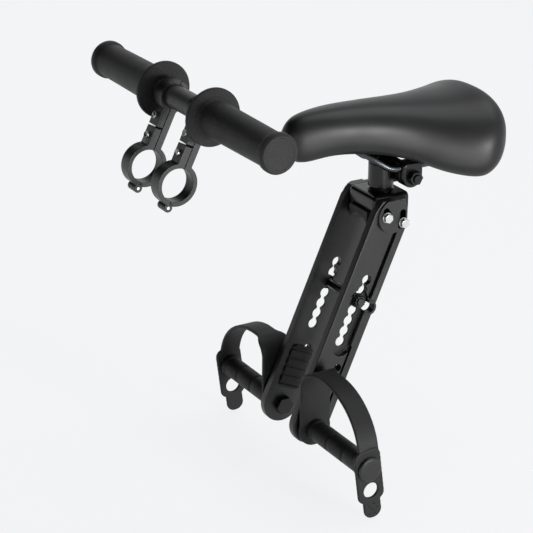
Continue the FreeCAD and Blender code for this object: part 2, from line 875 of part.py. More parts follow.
def foot_strap():
    t = strap_thick
    ring = rod_x(strap_ring_radius, strap_in, strap_in + t, peg_y, peg_z)
    half = strap_tab_width / 2
    tab_low = peg_z - strap_tab_down
    tab = block(peg_end, peg_end + t, peg_y - half, peg_y + half, tab_low, peg_z + strap_tab_up)
    tab = tab.makeFillet(strap_tab_round, [e for e in tab.Edges if near(e.Length, t)])
    pull_half = strap_pull_width / 2
    pull = block(peg_end, peg_end + t, peg_y - pull_half, peg_y + pull_half, tab_low - strap_pull_length,
                 tab_low + pull_half)
    pull = pull.makeFillet(strap_pull_round, [e for e in pull.Edges if near(e.Length, t)])
    spare = rod_x(strap_hole_size, peg_end - 1, 2 * peg_end, peg_y, peg_z - strap_hole_pitch)
    for hanging in (tab, pull, spare):
        hanging.rotate(V(0, peg_y, peg_z), along_x, strap_tab_tilt)
    strap = strap_band().fuse([ring, tab, pull])
    cuts = [
        rod_x(peg_axle_radius + fit_gap, 0, peg_start + 1, peg_y, peg_z),
        rod_x(button_neck_radius + fit_gap, peg_end - 1, 2 * peg_end, peg_y, peg_z),
        spare,
    ]
    return strap.cut(cuts).removeSplitter()


# Child's handlebar: a straight tube with a flanged grip on each end
def handlebar_tube():
    tube = rod_x(bar_radius, -bar_half, bar_half, bar_y, bar_z)
    return tube.cut(rod_x(bar_radius - bar_wall, -bar_half, bar_half, bar_y, bar_z))


def grip():
    end = grip_start + grip_length
    bead = end - grip_bead_length
    bore = bar_radius + fit_gap
    points = [
        V(grip_start, bore, 0),
        V(grip_start, grip_flange_radius - 1.0, 0),
        V(grip_start + 1.0, grip_flange_radius, 0),
        V(grip_start + grip_flange_thick - 1.0, grip_flange_radius, 0),
        V(grip_start + grip_flange_thick, grip_flange_radius - 1.5, 0),
        V(grip_start + grip_flange_thick + 1.5, grip_radius_in + 3.0, 0),
        V(grip_start + grip_flange_thick + 5.0, grip_radius_in, 0),
        V(bead - 3.0, grip_radius_out, 0),
        V(bead, grip_bead_radius - 1.0, 0),
        V(bead + 1.5, grip_bead_radius, 0),
        V(end - 2.0, grip_bead_radius, 0),
        V(end, grip_bead_radius - 2.0, 0),
        V(end, 0, 0),
        V(end - grip_end_wall, 0, 0),
        V(end - grip_end_wall, bore, 0),
    ]
    body = turn(points, V(0, 0, 0), along_x)
    body.translate(V(0, bar_y, bar_z))
    return body


# Handlebar clamps: a back plate with two half rings, and a front cap on each bar
def half_ring(radius, wall, drop, front):
    ring = rod_x(radius + wall, -clamp_width / 2, clamp_width / 2, 0, -drop)
    reach = 2 * (radius + wall)
    if front:
        keep = block(-clamp_width, clamp_width, -reach, -sheet_gap, -drop - reach, -drop + reach)
    else:
        keep = block(-clamp_width, clamp_width, sheet_gap, reach, -drop - reach, -drop + reach)
    return ring.common(keep)


def clamp_bores():
    wide = clamp_width
    return [
        rod_x(bar_radius + fit_gap, -wide, wide),
        rod_x(carrier_radius, -wide, wide, 0, -clamp_drop),
    ]


def screw_holes():
    return [
        rod(screw_radius + fit_gap, V(0, -4 * clamp_ear, -drop), V(0, 4 * clamp_web, -drop))
        for drop in (upper_screw_drop, lower_screw_drop)
    ]


def knuckle(x0, x1):
    # One barrel of the hinge at the foot of the clamp
    drop = clamp_drop + carrier_radius + lower_wall + knuckle_radius / 2
    barrel = rod_x(knuckle_radius, x0, x1, 0, -drop)
    return barrel.cut(rod_x(knuckle_pin_radius + fit_gap, x0, x1, 0, -drop))


def knuckle_clear(x0, x1):
    drop = clamp_drop + carrier_radius + lower_wall + knuckle_radius / 2
    return rod_x(knuckle_radius + moving_gap, x0, x1, 0, -drop)


def tongue(gap):
    # Tenon at the top of the upper cap, let into the back plate
    half = tongue_width / 2 + gap
    height = bar_radius + upper_wall / 2
    return block(-half, half, -tongue_length, tongue_length + gap,
                 height - upper_wall / 4 - gap, height + upper_wall / 4 + gap)


def clamp_thirds():
    third = clamp_width / 6
    half = clamp_width / 2
    return [(-half, -third - moving_gap), (-third, third), (third + moving_gap, half)]


def clamp_back(x):
    half = clamp_width / 2
    web = block(-half, half, sheet_gap, clamp_web, -clamp_drop + carrier_radius, -bar_radius)
    body = half_ring(bar_radius, upper_wall, 0, False)
    body = body.fuse([web, half_ring(carrier_radius, lower_wall, clamp_drop, False)])
    left, middle, right = clamp_thirds()
    body = body.cut([knuckle_clear(*left), knuckle_clear(*right)])
    body = body.fuse(knuckle(*middle))
    body = body.cut(clamp_bores() + screw_holes() + [tongue(fit_gap)])
    return clamp_at(body, x)


def upper_cap(x):
    half = clamp_width / 2
    split = (upper_screw_drop + lower_screw_drop) / 2
    foot = block(-half, half, -clamp_ear, -sheet_gap, -split + ear_gap / 2, -bar_radius + upper_wall)
    body = half_ring(bar_radius, upper_wall, 0, True).fuse([foot, tongue(0)])
    return clamp_at(body.cut(clamp_bores() + screw_holes()), x)


def lower_cap(x):
    half = clamp_width / 2
    split = (upper_screw_drop + lower_screw_drop) / 2
    head = block(-half, half, -clamp_ear, -sheet_gap, -clamp_drop + carrier_radius - lower_wall,
                 -split - ear_gap / 2)
    body = half_ring(carrier_radius, lower_wall, clamp_drop, True).fuse(head)
    left, middle, right = clamp_thirds()
    body = body.cut(knuckle_clear(*middle))
    body = body.fuse([knuckle(*left), knuckle(*right)])
    return clamp_at(body.cut(clamp_bores() + screw_holes()), x)


def clamp_at(shape, x):
    shape = hang_clamp(shape.removeSplitter())
    shape.translate(V(x, 0, 0))
    return shape


def clamp_screws():
    screws = []
    for x in (-clamp_x, clamp_x):
        for drop in (upper_screw_drop, lower_screw_drop):
            shank = rod(screw_radius, V(0, -clamp_ear, -drop), V(0, clamp_web, -drop))
            head = rod(screw_head_radius, V(0, -clamp_ear - screw_head_height, -drop), V(0, -clamp_ear, -drop))
            socket = rod(screw_radius, V(0, -clamp_ear - screw_head_height, -drop),
                         V(0, -clamp_ear - screw_head_height / 2, -drop))
            screws.append(clamp_at(shank.fuse(head).cut(socket), x))
    return Part.makeCompound(screws)


def hinge_pins():
    drop = clamp_drop + carrier_radius + lower_wall + knuckle_radius / 2
    half = clamp_width / 2
    return Part.makeCompound([
        clamp_at(rod_x(knuckle_pin_radius, -half, half, 0, -drop), x) for x in (-clamp_x, clamp_x)
    ])


def nodes():
    left_leg = leg()
    left_pad = frame_pad()
    left_axle = peg_axle()
    left_sleeve = peg_sleeve()
    left_button = peg_button()
    left_strap = foot_strap()
    left_grip = grip()
    return {
        "head_bracket": head_bracket(),
        "top_tube_pad": tube_pad(),
        "seat_post": seat_post(),
        "saddle_clamp_ring": clamp_ring(),
        "saddle_inner_cups": inner_cups(),
        "saddle_outer_cups": outer_cups(),
        "saddle_clamp_bolt": clamp_bolt(),
        "saddle_clamp_nuts": clamp_nuts(),
        "saddle_cover": saddle_cover(),
        "saddle_base": saddle_base(),
        "saddle_rails": saddle_rails(),
        "leg_left": left_leg,
        "leg_right": other_side(left_leg),
        "frame_pad_left": left_pad,
        "frame_pad_right": other_side(left_pad),
        "leg_bolts": leg_bolts(),
        "leg_washers": leg_washers(),
        "leg_nuts": leg_nuts(),
        "cross_pin": cross_pin(),
        "cross_pin_washers": pin_washers(),
        "cross_pin_knob": pin_knob(),
        "peg_axle_left": left_axle,
        "peg_axle_right": other_side(left_axle),
        "peg_sleeve_left": left_sleeve,
        "peg_sleeve_right": other_side(left_sleeve),
        "peg_button_left": left_button,
        "peg_button_right": other_side(left_button),
        "foot_strap_left": left_strap,
        "foot_strap_right": other_side(left_strap),
        "handlebar_tube": handlebar_tube(),
        "grip_left": left_grip,
        "grip_right": other_side(left_grip),
        "bar_clamp_back_left": clamp_back(clamp_x),
        "bar_clamp_back_right": clamp_back(-clamp_x),
        "bar_clamp_upper_cap_left": upper_cap(clamp_x),
        "bar_clamp_upper_cap_right": upper_cap(-clamp_x),
        "bar_clamp_lower_cap_left": lower_cap(clamp_x),
        "bar_clamp_lower_cap_right": lower_cap(-clamp_x),
        "bar_clamp_screws": clamp_screws(),
        "bar_clamp_hinge_pins": hinge_pins(),
    }


os.makedirs("parts", exist_ok=True)
for name, shape in nodes().items():
    shape.exportStep(os.path.join("parts", name + ".step"))
    print(name, shape.isValid(), len(shape.Solids), round(shape.Volume / 1000, 2))
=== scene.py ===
import bpy
import bmesh
import json
from math import acos, copysign, cos, pi, radians, sin
from mathutils import Matrix, Vector
from mathutils.bvhtree import BVHTree


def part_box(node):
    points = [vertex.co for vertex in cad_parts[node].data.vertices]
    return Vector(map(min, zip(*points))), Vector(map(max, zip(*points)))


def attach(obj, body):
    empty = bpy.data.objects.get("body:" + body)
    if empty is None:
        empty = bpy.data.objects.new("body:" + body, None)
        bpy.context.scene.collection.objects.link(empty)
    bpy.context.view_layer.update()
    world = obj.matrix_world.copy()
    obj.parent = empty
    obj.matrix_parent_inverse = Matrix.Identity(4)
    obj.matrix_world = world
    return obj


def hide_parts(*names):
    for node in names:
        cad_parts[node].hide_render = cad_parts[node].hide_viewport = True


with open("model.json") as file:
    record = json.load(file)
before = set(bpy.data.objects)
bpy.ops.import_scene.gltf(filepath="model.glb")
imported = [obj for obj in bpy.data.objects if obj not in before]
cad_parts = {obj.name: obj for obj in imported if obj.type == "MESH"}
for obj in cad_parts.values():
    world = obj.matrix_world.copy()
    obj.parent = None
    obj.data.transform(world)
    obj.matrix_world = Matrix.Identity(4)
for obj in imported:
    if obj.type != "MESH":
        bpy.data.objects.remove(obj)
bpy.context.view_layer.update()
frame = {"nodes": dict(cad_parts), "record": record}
record = frame["record"]
mm = 0.001
legLean = 23.7  # degrees, as the legs slant
bodyOf = {node: body for body, names in record["behaviour"]["bodies"].items() for node in names}
slotOf = {part["node"]: part["material_slot"] for part in record["subparts"]}
print("loaded", len(frame["nodes"]), "nodes")


# Materials
def linear(code):
    parts = [int(code[i:i + 2], 16) / 255 for i in (1, 3, 5)]
    return tuple(c / 12.92 if c <= 0.04045 else ((c + 0.055) / 1.055) ** 2.4 for c in parts) + (1.0,)


def perMetre(millimetres):
    return 1000 / millimetres  # a noise whose lumps are about this wide


def addNode(tree, kind, settings=None, links=None):
    node = tree.nodes.new("ShaderNode" + kind)
    for key, value in (settings or {}).items():
        if isinstance(key, int) or key in node.inputs:
            node.inputs[key].default_value = value
        else:
            setattr(node, key, value)
    for key, source in (links or {}).items():
        tree.links.new(source, node.inputs[key])
    return node


def startMaterial(name, **shader):
    material = bpy.data.materials.new(name)
    material.use_nodes = True
    tree = material.node_tree
    tree.nodes.clear()
    skin = addNode(tree, "BsdfPrincipled", shader)
    addNode(tree, "OutputMaterial", None, {"Surface": skin.outputs[0]})
    place = addNode(tree, "TexCoord").outputs["Object"]
    return material, tree, skin, place


def noise(tree, place, lump, detail, **more):
    # A cloudy pattern whose lumps are about this many millimetres wide
    return addNode(tree, "TexNoise", {"Scale": perMetre(lump), "Detail": detail, **more}, {"Vector": place}).outputs[0]


def dress(tree, skin, tints, tintBy, roughness, roughBy, relief, reliefBy):
    # Two tints, a span of roughness and a relief (strength, depth in mm), each led by a pattern
    tint = addNode(tree, "Mix", {"data_type": "RGBA", 6: linear(tints[0]), 7: linear(tints[1])}, {0: tintBy})
    rough = addNode(tree, "MapRange", {"To Min": roughness[0], "To Max": roughness[1]}, {"Value": roughBy})
    bump = addNode(tree, "Bump", {"Strength": relief[0], "Distance": relief[1] * mm}, {"Height": reliefBy})
    tree.links.new(tint.outputs[2], skin.inputs["Base Color"])
    tree.links.new(rough.outputs[0], skin.inputs["Roughness"])
    tree.links.new(bump.outputs[0], skin.inputs["Normal"])


def makePowderCoat():
    # Gloss black powder coat on steel: deep black, a faint orange peel that breaks up its highlights
    material, tree, skin, place = startMaterial("powderCoat", **{"IOR": 1.5, "Specular IOR Level": 0.4})
    peel = noise(tree, place, 1.1, 1.5)
    cloud = noise(tree, place, 11, 4.0)
    dress(tree, skin, ("#070708", "#111112"), cloud, (0.18, 0.3), cloud, (0.22, 0.12), peel)
    return material


def makeNylon():
    # Moulded glass-filled nylon: satin charcoal with a spark-eroded grain and faint flow marks down the part
    material, tree, skin, place = startMaterial("glassNylon", IOR=1.53)
    downLeg = {"Rotation": (radians(legLean), 0, 0), "Scale": (1, 1, 0.18)}
    along = addNode(tree, "Mapping", downLeg, {"Vector": place}).outputs[0]
    flow = noise(tree, along, 9, 4.0)
    grain = noise(tree, place, 0.7, 3.0)  # coarser than life, to show
    dress(tree, skin, ("#0e0e0f", "#19191a"), flow, (0.32, 0.48), flow, (0.3, 0.1), grain)
    return material


def makeSaddleSkin():
    # Self-skinned polyurethane foam: satin black, a fine leather pebble, a little smoother where it is handled
    material, tree, skin, place = startMaterial("foamSkin", **{"IOR": 1.5, "Specular IOR Level": 0.42})
    leather = {"feature": "SMOOTH_F1", "Scale": perMetre(1.3), "Smoothness": 0.8}
    pebble = addNode(tree, "TexVoronoi", leather, {"Vector": place}).outputs[0]
    cloud = noise(tree, place, 28, 3.0)
    dress(tree, skin, ("#101011", "#1a1a1b"), cloud, (0.34, 0.46), cloud, (0.14, 0.12), pebble)
    return material


def makeRubber():
    # Moulded rubber: matte black-grey with a faint pale bloom in patches and a dusting of fine grain
    material, tree, skin, place = startMaterial("mouldedRubber", **{"IOR": 1.5, "Specular IOR Level": 0.4})
    bloom = noise(tree, place, 13, 5.0, Roughness=0.6)
    grain = noise(tree, place, 0.6, 2.0)
    dress(tree, skin, ("#101010", "#1c1c1c"), bloom, (0.5, 0.72), bloom, (0.4, 0.14), grain)
    return material


def makeGripRubber():
    # Soft thermoplastic rubber: matte black with a pebbled hand grain that shows as fine speckle
    material, tree, skin, place = startMaterial("gripRubber", **{"IOR": 1.5, "Specular IOR Level": 0.4})
    pebble = addNode(tree, "TexVoronoi", {"Scale": perMetre(1.0)}, {"Vector": place}).outputs[0]
    cloud = noise(tree, place, 16, 4.0)
    dress(tree, skin, ("#131313", "#1f1f1f"), cloud, (0.5, 0.66), cloud, (0.8, 0.35), pebble)
    return material


def makeWire():
    # Bright-drawn wire, blackened: dark mirror with die lines along its length
    material, tree, skin, place = startMaterial("drawnWire", Metallic=1.0)
    along = addNode(tree, "Mapping", {"Scale": (1, 0.06, 1)}, {"Vector": place}).outputs[0]
    lines = noise(tree, along, 0.5, 2.0)
    cloud = noise(tree, place, 8, 3.0)
    dress(tree, skin, ("#3c3d40", "#595b5f"), cloud, (0.2, 0.34), lines, (0.15, 0.05), lines)
    return material


def makeZinc():
    # Bright zinc plate on cold-headed steel: silvery with a faint straw and blue tinge, and tool marks
    material, tree, skin, place = startMaterial("zincPlate", Metallic=1.0)
    cloud = noise(tree, place, 3, 3.0)
    marks = noise(tree, place, 0.5, 3.0)
    dress(tree, skin, ("#c3c8cf", "#dedbd2"), cloud, (0.2, 0.42), marks, (0.2, 0.06), marks)
    return material


def makeSatinCoat():
    # Satin black lacquer on the drawn bar: soft broad highlight, with faint draw lines along the tube
    material, tree, skin, place = startMaterial("satinLacquer", IOR=1.5)
    along = addNode(tree, "Mapping", {"Scale": (0.05, 1, 1)}, {"Vector": place}).outputs[0]
    lines = noise(tree, along, 0.8, 3.0)
    cloud = noise(tree, place, 9, 4.0)
    dress(tree, skin, ("#343435", "#4a4a4b"), cloud, (0.4, 0.56), lines, (0.2, 0.06), lines)
    return material


satinCoat = makeSatinCoat()
finishes = {
    "black_steel": makePowderCoat(),
    "black_nylon": makeNylon(),
    "saddle_skin": makeSaddleSkin(),
    "black_rubber": makeRubber(),
    "grip_rubber": makeGripRubber(),
    "rail_wire": makeWire(),
    "zinc_steel": makeZinc(),
}
for nodeName, node in frame["nodes"].items():
    node.data.materials.clear()
    node.data.materials.append(finishes[slotOf[nodeName]])
print("materials", len(finishes))


# Getting a bmesh into the scene as a piece that stands for its CAD nodes
def camel(name):
    head, *rest = name.split("_")
    return head + "".join(word.capitalize() for word in rest)


def addPiece(name, bm, cadNode, replacing=True, sharpAngle=32):
    mesh = bpy.data.meshes.new(name)
    bm.to_mesh(mesh)
    bm.free()
    mesh.shade_smooth()
    mesh.set_sharp_from_angle(angle=radians(sharpAngle))
    piece = bpy.data.objects.new(name, mesh)
    bpy.context.collection.objects.link(piece)
    mesh.materials.append(finishes[slotOf[cadNode]])
    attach(piece, bodyOf[cadNode])
    if replacing:
        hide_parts(cadNode)
    return piece


def cadCopy(nodeName):
    bm = bmesh.new()
    bm.from_mesh(frame["nodes"][nodeName].data)
    bmesh.ops.remove_doubles(bm, verts=bm.verts, dist=0.002 * mm)
    return bm


def softenEdges(piece, width, angle=38, segments=2):
    bevel = piece.modifiers.new("softEdges", "BEVEL")
    bevel.width = width * mm
    bevel.segments = segments
    bevel.limit_method = "ANGLE"
    bevel.angle_limit = radians(angle)
    bevel.harden_normals = True
    bevel.use_clamp_overlap = False


# Rigid pieces whose CAD shape is right: edges broken as a mould, a fold or a turning leaves them, in mm
brokenEdges = {
    "head_bracket": 0.7, "top_tube_pad": 0.6, "seat_post": 0.4, "saddle_clamp_ring": 0.5,
    "saddle_inner_cups": 0.6, "saddle_outer_cups": 0.6, "saddle_clamp_bolt": 0.3, "saddle_clamp_nuts": 0.5,
    "leg_left": 0.35, "leg_right": 0.35, "frame_pad_left": 0.5, "frame_pad_right": 0.5,
    "leg_bolts": 0.5, "leg_washers": 0.25, "leg_nuts": 0.4,
    "cross_pin": 0.4, "cross_pin_washers": 0.3, "cross_pin_knob": 0.4,
    "peg_axle_left": 0.4, "peg_axle_right": 0.4, "handlebar_tube": 0.4,
    "bar_clamp_back_left": 0.5, "bar_clamp_back_right": 0.5,
    "bar_clamp_upper_cap_left": 0.5, "bar_clamp_upper_cap_right": 0.5,
    "bar_clamp_lower_cap_left": 0.5, "bar_clamp_lower_cap_right": 0.5,
    "bar_clamp_screws": 0.5, "bar_clamp_hinge_pins": 0.3,
}
for nodeName, width in brokenEdges.items():
    bm = cadCopy(nodeName)
    bmesh.ops.dissolve_limit(bm, angle_limit=radians(0.8), verts=bm.verts, edges=bm.edges)
    softenEdges(addPiece(camel(nodeName), bm, nodeName), width)
bpy.data.objects["handlebarTube"].data.materials[0] = satinCoat
print("rigid pieces", len(brokenEdges))

for nodeName in ("saddle_base", "saddle_rails"):
    addPiece(camel(nodeName), cadCopy(nodeName), nodeName)


# Saddle: one moulded cover, drawn loop by loop along its length and hollowed below for the base
saddle = {
    "crownPower": 2.4, "skirtPower": 2.87,  # fullness over and under the widest line
    "wall": 7.6, "thinnest": 0.45,  # side wall, and where its inner face stops at the ends, as a share of the half width
    "lip": 1.2,  # step inside the lip that holds its edge
    "roof": 19.4, "cavityDrop": 12.0, "hollow": (-98.0, 103.0), "noseProud": 1.0, "tailProud": 1.5,
    "over": 30, "under": 10, "between": 3, "fill": 0.95,
    "stations": [  # y, half width, crown, lower lip, and how far up the section it is widest
        (-109.3, 7.5, 114.8, 104.5, 0.42), (-103.2, 13.0, 124.4, 88.6, 0.42), (-91, 17.8, 130.5, 83.6, 0.42),
        (-62, 24, 133.6, 86.4, 0.42), (-22, 29.5, 133, 81.5, 0.4), (14, 39.6, 131, 71.8, 0.33),
        (46, 54.6, 129.5, 57.3, 0.27), (77.5, 67.9, 130.1, 47.4, 0.32), (96, 67.7, 132.3, 51.5, 0.38),
        (108.3, 59.8, 130.3, 62.6, 0.42), (113.2, 51, 122.8, 73.6, 0.42), (116.4, 36, 112.5, 86.6, 0.42),
    ],
}


def smoothStations(rows, between):
    rows = [Vector(row) for row in rows]
    padded = [2 * rows[0] - rows[1]] + rows + [2 * rows[-1] - rows[-2]]
    made = []
    for a, b, c, d in zip(padded, padded[1:], padded[2:], padded[3:]):
        for k in range(between):
            t = k / between
            bend, twist = 2 * a - 5 * b + 4 * c - d, 3 * b - a - 3 * c + d
            made.append(0.5 * (2 * b + (c - a) * t + bend * t ** 2 + twist * t ** 3))
    return made + [rows[-1]]


def fullness(angle, half, up, power):
    c, s = cos(angle), sin(angle)
    return copysign(abs(c) ** (2 / power), c) * half, copysign(abs(s) ** (2 / power), s) * up


def innerHalf(half):
    return max(half - saddle["wall"], saddle["thinnest"] * half)


def saddleLoop(station):
    # Once round the section: over the crown from lip to lip, then back across the floor
    y, half, top, low, widest = station
    inner = innerHalf(half)
    middle = low + widest * (top - low)
    lip = acos((inner / half) ** (saddle["skirtPower"] / 2))
    over, under = saddle["over"], saddle["under"]
    angles = [-lip + (pi + 2 * lip) * k / over for k in range(over)]
    angles += [pi + lip + (pi - 2 * lip) * k / under for k in range(under)]
    loop = []
    for angle in angles:
        crown = sin(angle) > 0
        power = saddle["crownPower"] if crown else saddle["skirtPower"]
        x, z = fullness(angle, half, top - middle if crown else middle - low, power)
        loop.append(Vector((x, y, middle + z)) * mm)
    return loop


def roofHeight(x, station):
    # Underside of the foam over the base
    half, top, low, widest = station[1:]
    foot = low - saddle["cavityDrop"]
    roof = top - saddle["roof"]
    middle = foot + widest * (roof - foot)
    share = min(abs(x / mm) / innerHalf(half), 1)
    power = saddle["crownPower"]
    return (middle + (roof - middle) * (1 - share ** power) ** (1 / power)) * mm


def closeEnd(bm, rim, proud):
    cap = bmesh.ops.contextual_create(bm, geom=rim)["faces"]
    bmesh.ops.recalc_face_normals(bm, faces=bm.faces)
    bmesh.ops.poke(bm, faces=cap, offset=proud * mm)


def makeSaddle():
    stations = smoothStations(saddle["stations"], saddle["between"])
    count = saddle["over"] + saddle["under"]
    bm = bmesh.new()
    ring = bmesh.ops.create_circle(bm, cap_ends=False, segments=count, radius=mm)["verts"]
    rim = list(bm.edges)
    place = {vert: (0, k) for k, vert in enumerate(ring)}
    firstRim = rim
    for row in range(1, len(stations)):
        made = bmesh.ops.extrude_edge_only(bm, edges=rim)["geom"]
        fresh = [item for item in made if isinstance(item, bmesh.types.BMVert)]
        rim = [item for item in made if isinstance(item, bmesh.types.BMEdge)]
        for vert in fresh:
            around = [edge.other_vert(vert) for edge in vert.link_edges]
            beside = [place[other] for other in around if other in place]
            place[vert] = (row, next(k for olderRow, k in beside if olderRow == row - 1))
    loops = [saddleLoop(station) for station in stations]
    for vert, (row, k) in place.items():
        vert.co = loops[row][k]
    closeEnd(bm, firstRim, saddle["noseProud"])
    closeEnd(bm, rim, saddle["tailProud"])
    low, high = saddle["hollow"]
    floor = []
    for face in bm.faces:
        spots = [place.get(vert) for vert in face.verts]
        if None in spots:
            continue
        if all((k >= saddle["over"] or k == 0) and low < stations[row][0] < high for row, k in spots):
            floor.append(face)
    for toRoof in (False, True):  # a short step first, which holds the lip's edge
        made = bmesh.ops.extrude_face_region(bm, geom=floor)["geom"]
        bmesh.ops.delete(bm, geom=[face for face in floor if face.is_valid], context="FACES")
        floor = [item for item in made if isinstance(item, bmesh.types.BMFace)]
        for vert in (item for item in made if isinstance(item, bmesh.types.BMVert)):
            station = min(stations, key=lambda row: abs(row[0] * mm - vert.co.y))
            vert.co.z = roofHeight(vert.co.x, station) if toRoof else vert.co.z + saddle["lip"] * mm
    bmesh.ops.recalc_face_normals(bm, faces=bm.faces)
    print("saddle open edges", sum(1 for edge in bm.edges if len(edge.link_faces) != 2))
    piece = addPiece("saddleCover", bm, "saddle_cover", sharpAngle=180)
    ease = piece.modifiers.new("smooth", "SUBSURF")
    ease.levels = ease.render_levels = 2
    print("saddle", len(piece.data.polygons), "faces")


makeSaddle()


# Turned pieces: a profile of (along x, radius) in mm, spun about an axis along x
def spinProfile(profile, axisY, axisZ, side, steps=72, soften=0.8, angle=18, rounds=3):
    bm = bmesh.new()
    verts = [bm.verts.new((side * x * mm, axisY * mm, (axisZ + r) * mm)) for x, r in profile]
    edges = [bm.edges.new(pair) for pair in zip(verts, verts[1:] + verts[:1])]
    bmesh.ops.spin(bm, geom=verts + edges, cent=(0, axisY * mm, axisZ * mm), axis=(1, 0, 0), dvec=(0, 0, 0),
                   angle=2 * pi, steps=steps, use_merge=True)
    bmesh.ops.remove_doubles(bm, verts=bm.verts, dist=0.002 * mm)
    bmesh.ops.dissolve_degenerate(bm, edges=bm.edges, dist=0.001 * mm)
    bmesh.ops.recalc_face_normals(bm, faces=bm.faces)
    rims = [e for e in bm.edges if len(e.link_faces) == 2 and e.calc_face_angle() > radians(angle)]
    bmesh.ops.bevel(bm, geom=rims, offset=soften * mm, offset_type="OFFSET", segments=rounds, profile=0.5,
                    affect="EDGES", material=-1, clamp_overlap=True)
    return bm


grip = {
    "axisY": -212.7, "axisZ": 160.0,
    "profile": [
        (46, 11.15), (46, 26.8), (46.8, 27.5), (49.2, 27.5), (50, 26.4), (51.5, 20.5), (55, 17.5),
        (152.5, 16.5), (156, 16.5), (158.2, 18.2), (159.4, 18.6), (164, 18.6), (166, 16.4),
        (166, 14.6), (165.7, 14.2), (165.7, 0), (162, 0), (162, 11.15),
    ],
}
for side, nodeName in ((1, "grip_left"), (-1, "grip_right")):
    bm = spinProfile(grip["profile"], grip["axisY"], grip["axisZ"], side, soften=0.6)
    addPiece(camel(nodeName), bm, nodeName)

peg = {
    "axisY": -92.43, "axisZ": -185.13,
    "grooves": [45.3, 73.3, 101.3], "grooveWidth": 2.4, "grooveFloor": 9.8, "radius": 10.8,
    "start": 38.8, "bore": 6.05, "rim": [(125.8, 10.8), (127, 12), (131, 12), (132.8, 10.4)], "grooveSlope": 0.4,
    "button": [
        (132.85, 0), (132.85, 6.2), (136.3, 6.2), (136.3, 12.5), (138.9, 12.5), (140.0, 11.2), (140.3, 7), (140.3, 0),
    ],
}


def pegProfile():
    top, floor, slope = peg["radius"], peg["grooveFloor"], peg["grooveSlope"]
    points = [(peg["start"], peg["bore"]), (peg["start"], top)]
    for x in peg["grooves"]:
        far = x + peg["grooveWidth"]
        points += [(x, top), (x + slope, floor), (far - slope, floor), (far, top)]
    return points + peg["rim"] + [(peg["rim"][-1][0], peg["bore"])]


for side, hand in ((1, "left"), (-1, "right")):
    bm = spinProfile(pegProfile(), peg["axisY"], peg["axisZ"], side, soften=0.4)
    addPiece("pegSleeve" + hand.capitalize(), bm, "peg_sleeve_" + hand)
    bm = spinProfile(peg["button"], peg["axisY"], peg["axisZ"], side, soften=0.5)
    addPiece("pegButton" + hand.capitalize(), bm, "peg_button_" + hand)
print("grips and pegs")


# Foot straps: moulded in rubber, so every edge is rolled, with a few grip dots on the finger tab
strap = {
    "voxel": 0.8, "firstEasing": 3, "easing": 3,
    "face": 136.3, "axisY": -92.43, "axisZ": -185.13, "tilt": 8.0,
    "dotRadius": 1.0, "dotTaper": 0.62, "dotProud": 0.55,
    "dots": [  # across and down from the peg
        (-3.4, -41.5), (2.2, -40.2), (-0.6, -45.6), (4.6, -45.0), (-4.4, -49.6), (1.6, -50.2),
    ],
}


def easeMesh(bm, rounds):
    for _ in range(rounds):
        bmesh.ops.smooth_vert(bm, verts=bm.verts, factor=0.5, use_axis_x=True, use_axis_y=True, use_axis_z=True)


def makeStrap(hand):
    nodeName = "foot_strap_" + hand
    bm = cadCopy(nodeName)
    mould = BVHTree.FromBMesh(bm)
    mesh = bpy.data.meshes.new("strapBlank")
    bm.to_mesh(mesh)
    bm.free()
    blank = bpy.data.objects.new("strapBlank", mesh)
    bpy.context.collection.objects.link(blank)
    remesh = blank.modifiers.new("voxels", "REMESH")
    remesh.mode = "VOXEL"
    remesh.voxel_size = strap["voxel"] * mm
    even = bpy.data.meshes.new_from_object(blank.evaluated_get(bpy.context.evaluated_depsgraph_get()))
    bpy.data.objects.remove(blank)
    bm = bmesh.new()
    bm.from_mesh(even)
    easeMesh(bm, strap["firstEasing"])
    for vert in bm.verts:
        vert.co = mould.find_nearest(vert.co)[0]  # back on the mould's own faces
    easeMesh(bm, strap["easing"])
    addPiece(camel(nodeName), bm, nodeName, sharpAngle=180)


def makeStrapDots(hand, side):
    bm = bmesh.new()
    lean = Matrix.Rotation(radians(strap["tilt"]), 4, "X")
    hub = Vector((side * strap["face"], strap["axisY"], strap["axisZ"])) * mm
    for across, down in strap["dots"]:
        spot = hub + lean @ (Vector((0, across, down)) * mm)
        turn = Matrix.Rotation(side * pi / 2, 4, "Y")
        radius = strap["dotRadius"] * mm
        bmesh.ops.create_cone(bm, cap_ends=True, segments=16, radius1=radius, radius2=strap["dotTaper"] * radius,
                              depth=2 * strap["dotProud"] * mm, matrix=Matrix.Translation(spot) @ turn)
    addPiece("strapDots" + hand.capitalize(), bm, "foot_strap_" + hand, replacing=False, sharpAngle=60)


for hand, side in (("left", 1), ("right", -1)):
    makeStrap(hand)
    makeStrapDots(hand, side)
print("straps")


# Bare end of the cross pin, standing out of its knob
pinTip = {"radius": 4.06, "length": 1.75, "round": 0.7, "proud": 0.12}


def makePinTip():
    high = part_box("cross_pin")[1]
    knobLow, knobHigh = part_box("cross_pin_knob")
    end = high[0] / mm + pinTip["proud"]
    start = end - pinTip["length"]
    radius, rounding = pinTip["radius"], pinTip["round"]
    profile = [(start, 0), (start, radius), (end - rounding, radius), (end, radius - rounding), (end, 0)]
    axisY, axisZ = ((knobLow[k] + knobHigh[k]) / 2 / mm for k in (1, 2))
    bm = spinProfile(profile, axisY, axisZ, 1, steps=40, soften=0.2)
    piece = addPiece("pinTip", bm, "cross_pin", replacing=False)
    piece.data.materials[0] = finishes["rail_wire"]


makePinTip()


# Camera at the photograph's angle, and a plain studio
shot = {"eye": (1.53724, -1.03402, 0.70882), "azimuth": 59.468, "elevation": 22.165, "roll": 0.481, "lens": 134.47}


